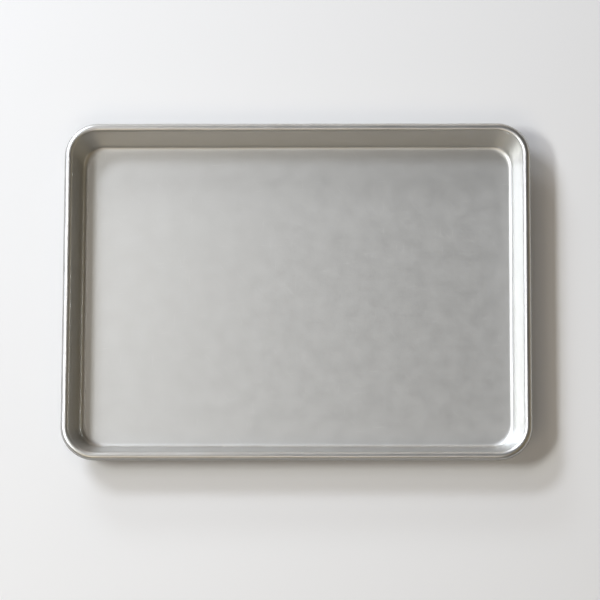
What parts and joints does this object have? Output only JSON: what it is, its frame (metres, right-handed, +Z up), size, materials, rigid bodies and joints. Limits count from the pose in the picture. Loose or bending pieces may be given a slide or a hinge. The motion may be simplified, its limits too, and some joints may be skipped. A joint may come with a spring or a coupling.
{
  "type": "jelly roll pan",
  "caption": "Shallow oblong baking pan of pressed satin aluminium with leaning walls, rounded corners and a beaded rim curled round a steel rod.",
  "frame": {"origin": "centre of the underside of the floor, on the surface that the pan stands on", "axes": "+X along the long side, +Y towards the back long side, +Z up through the open top"},
  "size_m": [0.406, 0.299, 0.0254],
  "materials": {
    "satin_aluminium": "natural satin, lightly used, with fine scratches",
    "galvanised_steel": "dull zinc"
  },
  "bodies": {
    "root": {"pan_body": "satin_aluminium", "rim_rod": "galvanised_steel"}
  },
  "joints": []
}
